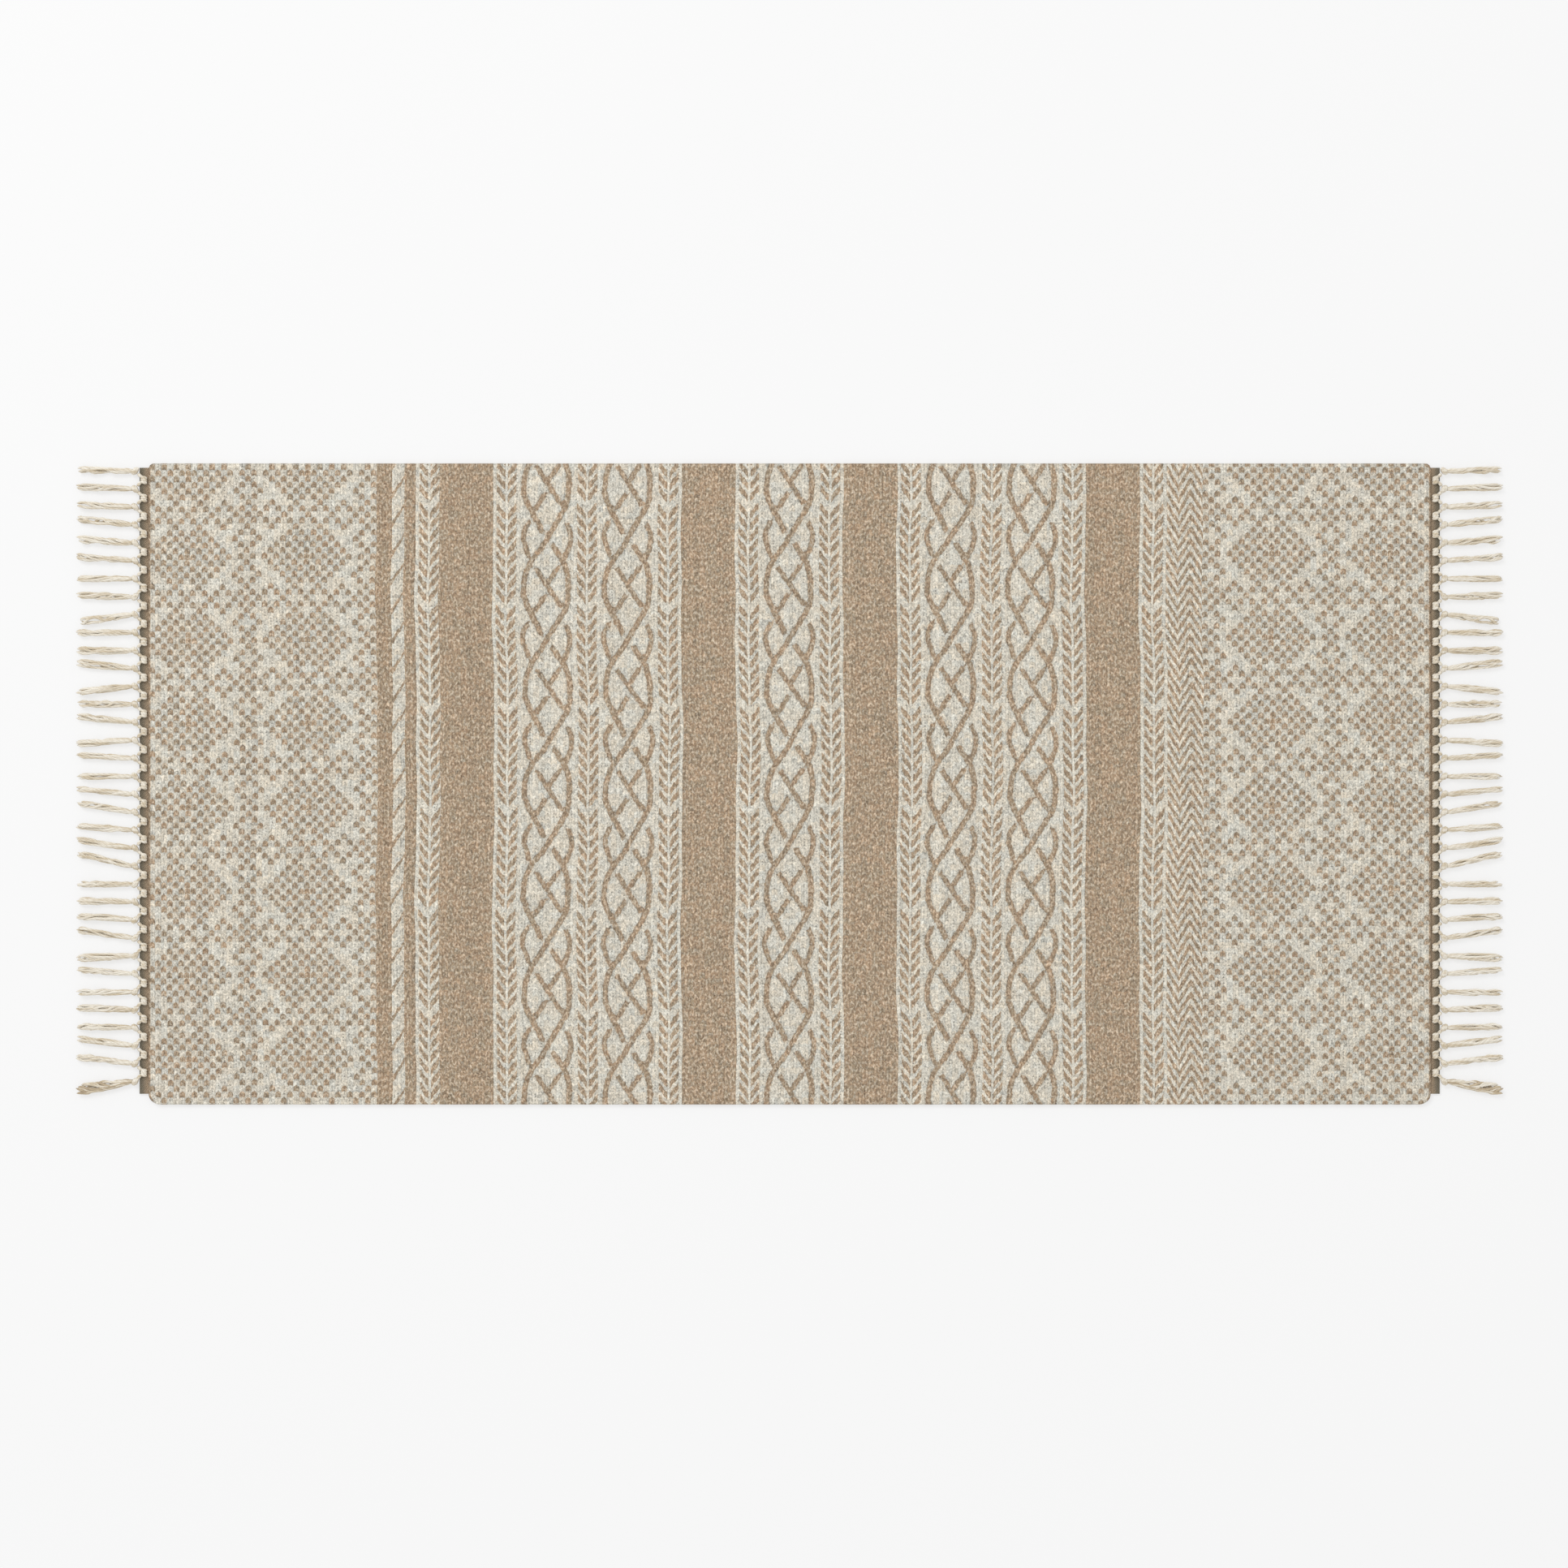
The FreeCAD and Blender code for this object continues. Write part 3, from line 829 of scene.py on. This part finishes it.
def knot_strands(number):
    """A knot: three slanting turns round a full core."""
    dice = random.Random(900 + number)
    middle = Vector((KNOT_X, knot_y(number), KNOT_Z))
    half_y = (KNOT_WIDTH - YARN) / 2
    half_z = (KNOT_HEIGHT - YARN) / 2
    half_x = half_z * 0.72
    tilt = dice.uniform(0.6, 1.0) * dice.choice((-1, 1, 1))
    strands = []
    for lane, fullness in ((-1, 0.8), (0, 1.0), (1, 0.8)):
        points = []
        for step in range(14):
            turn = TURN * step / 14
            lean = tilt * math.cos(turn) * half_x * (0.9 if lane == 0 else 0.7)
            points.append((
                middle.x + lane * half_x * 0.85 + lean,
                middle.y + half_y * fullness * math.cos(turn),
                middle.z + half_z * fullness * math.sin(turn),
            ))
        strands.append((points, [1.0] * len(points), True, 0))
    core = [(middle.x + share * half_x, middle.y, middle.z) for share in (-1.2, -0.6, 0, 0.6, 1.2)]
    strands.append((core, [0.9, 1.6, 2.0, 1.6, 0.9], False, 0))
    return strands


TASSEL_STEPS = 24
TASSEL_START = 2.2 * MM
NECK_WIDTH, NECK_HEIGHT = 5.8 * MM, 4.8 * MM
BELLY_HEIGHT, TIP_HEIGHT = 5.8 * MM, 5.2 * MM
BELLY_SHARE = 0.55


def swell(share, neck, belly, tip):
    """A tassel's width or height at a share of its length."""
    if share < BELLY_SHARE:
        return neck + (belly - neck) * smooth_step(share / BELLY_SHARE) ** 0.8
    return belly + (tip - belly) * smooth_step((share - BELLY_SHARE) / (1 - BELLY_SHARE))


def tassel_strands(number):
    """Loose yarns that leave the knot as one, cross as they swell, and end bluntly."""
    dice = random.Random(100 + number)
    is_corner = number == TASSEL_COUNT - 1
    yarns = 10 if is_corner else dice.choice((6, 6, 7, 7))
    tip_width = CORNER_TASSEL_WIDTH if is_corner else TIP_WIDTH * dice.uniform(0.92, 1.08)
    lean = TIP_LEANS[number] / 100 * PITCH
    turns = dice.uniform(0.3, 0.8) * dice.choice((-1, 1))
    first_turn = dice.random() * TURN
    strands = []
    for yarn in range(yarns):
        thickness = dice.uniform(0.82, 1.05)
        phase = first_turn + TURN * (yarn + dice.uniform(-0.25, 0.25)) / yarns
        sway = dice.uniform(0.4, 1.2)
        sway_turns = dice.uniform(0.7, 2.0)
        sway_start = dice.random() * TURN
        depth = dice.uniform(0.6, 1.0)
        reach = dice.uniform(0.9, 1.0)
        points, fullness = [], []
        for step in range(TASSEL_STEPS + 1):
            share = step / TASSEL_STEPS
            spot = share * reach
            wide = swell(spot, NECK_WIDTH, tip_width - 0.6 * MM, tip_width)
            high = swell(spot, NECK_HEIGHT, BELLY_HEIGHT, TIP_HEIGHT)
            opening = smooth_step(spot * 2.5)
            angle = phase + turns * TURN * spot
            angle += sway * math.sin(sway_turns * TURN * spot + sway_start) * opening
            gather = 1 - 0.25 * smooth_step((spot - 0.85) / 0.15)
            gather *= 0.45 + 0.55 * smooth_step(spot / 0.12)
            y = math.cos(angle) * depth * gather * (wide - YARN) / 2
            z = math.sin(angle) * (high - YARN) / 2 * gather
            x = KNOT_X + TASSEL_START + (TASSEL_TIP_X - KNOT_X - 2.4 * MM) * spot
            points.append((x, knot_y(number) + lean * spot + y, KNOT_Z + z))
            tip = max(0.0, (share - 0.93) / 0.07)
            fullness.append(thickness * math.sqrt(max(0.04, 1 - tip * tip)))
        # Every third yarn of the corner tassel takes the darker copy: painted shade.
        which = 1 if is_corner and yarn % 3 == 0 else 0
        strands.append((points, fullness, False, which))
    return strands


def make_fringe(finish, painted_shade_finish, knotted_finish):
    """Hitches, knots and tassels of both ends."""
    pieces = []

    def add_both(part, body, mesh, node):
        for side in ("right", "left"):
            name = f"{side}_{part}"
            shape = mesh if side == "right" else mirrored(mesh, name)
            on = "mat" if body == "mat" else f"{side}_{body}"
            pieces.append(add_piece(name, shape, on, "fringe_cotton", f"{side}_{node}"))

    hitches = [s for number in range(TASSEL_COUNT - 1) for s in hitch_strands(number)]
    mesh = spin_yarns("right_warp_turns", hitches, YARN, [knotted_finish])
    add_both("warp_turns", "mat", mesh, "hitches")
    for group in range(1, GROUPS + 1):
        members = range((group - 1) * TASSELS_IN_GROUP, group * TASSELS_IN_GROUP)
        knots = [s for number in members for s in knot_strands(number)]
        mesh = spin_yarns(f"right_knotted_yarn_{group}", knots, YARN, [knotted_finish])
        add_both(f"knotted_yarn_{group}", f"fringe_{group}", mesh, f"knots_{group}")
        for number in members:
            part = f"tassel_{number + 1:02d}"
            mesh = spin_yarns(f"right_{part}", tassel_strands(number), YARN, [finish, painted_shade_finish])
            add_both(part, f"fringe_{group}", mesh, f"tassels_{group}")
    return pieces


# ---- Assemble ----
cloth = make_cloth()
heading_finish = make_heading_finish()
headings = [make_heading(side, heading_finish) for side in ("left", "right")]
cotton = make_yarn_finish("fringe_cotton", CREAM_PALE, CREAM_TONE_AND_PAINTED_SHADE, 9)
# A darker copy of the fringe cotton: painted shade for some yarns.
shaded_cotton_copy = make_yarn_finish("fringe_cotton_painted_shade", CREAM_TONE_AND_PAINTED_SHADE, TAN_OLIVE, 9)
knotted_cotton = make_yarn_finish("knotted_cotton", CREAM_PALE, CREAM_TONE_AND_PAINTED_SHADE, 3)
fringe = make_fringe(cotton, shaded_cotton_copy, knotted_cotton)


# ---- Floor, light and camera ----
FLOOR_GREY = 0.34
FLOOR_GLOW = 0.575
SKY_STRENGTH = 0.86
LAMP_PLACE = (-2.4, 3.2, 4.2)
LAMP_SIZE = 2.6
LAMP_ENERGY = 105.0
VIEW_WIDTH = 1.4685
LENS = 85.0
SENSOR_WIDTH = 36.0
CAMERA_X = -5.3 * MM


def make_floor():
    """A plain pale floor that glows a little, so that shadows on it stay faint."""
    shape = bmesh.new()
    bmesh.ops.create_grid(shape, x_segments=1, y_segments=1, size=6.0)
    bmesh.ops.translate(shape, verts=shape.verts[:], vec=(0, 0, -0.2 * MM))
    mesh = bpy.data.meshes.new("floor")
    shape.to_mesh(mesh)
    shape.free()
    floor = bpy.data.objects.new("floor", mesh)
    bpy.context.scene.collection.objects.link(floor)
    finish = Finish("floor_paint", Roughness=1.0, Specular_IOR_Level=0.0)
    finish.shader.inputs["Base Color"].default_value = (FLOOR_GREY, FLOOR_GREY, FLOOR_GREY, 1.0)
    finish.shader.inputs["Emission Color"].default_value = (1.0, 1.0, 1.0, 1.0)
    finish.shader.inputs["Emission Strength"].default_value = FLOOR_GLOW
    mesh.materials.append(finish.material)


def make_light():
    """Even light from all round, and one broad soft lamp above the back left corner."""
    world = bpy.data.worlds.new("studio")
    world.use_nodes = True
    world.node_tree.nodes["Background"].inputs["Color"].default_value = (1.0, 1.0, 1.0, 1.0)
    world.node_tree.nodes["Background"].inputs["Strength"].default_value = SKY_STRENGTH
    bpy.context.scene.world = world
    lamp = bpy.data.lights.new("soft_lamp", "AREA")
    lamp.shape = "DISK"
    lamp.size = LAMP_SIZE
    lamp.energy = LAMP_ENERGY
    holder = bpy.data.objects.new("soft_lamp", lamp)
    holder.location = LAMP_PLACE
    aim = Vector((0, 0, 0)) - holder.location
    holder.rotation_euler = aim.to_track_quat("-Z", "Y").to_euler()
    bpy.context.scene.collection.objects.link(holder)


def make_camera():
    """Straight above the mat, a little left of its middle."""
    camera = bpy.data.cameras.new("camera")
    camera.lens = LENS
    camera.sensor_width = SENSOR_WIDTH
    holder = bpy.data.objects.new("camera", camera)
    holder.location = (CAMERA_X, 0.0, VIEW_WIDTH * LENS / SENSOR_WIDTH)
    bpy.context.scene.collection.objects.link(holder)
    bpy.context.scene.camera = holder
    bpy.context.scene.view_settings.view_transform = "Standard"


make_floor()
make_light()
make_camera()
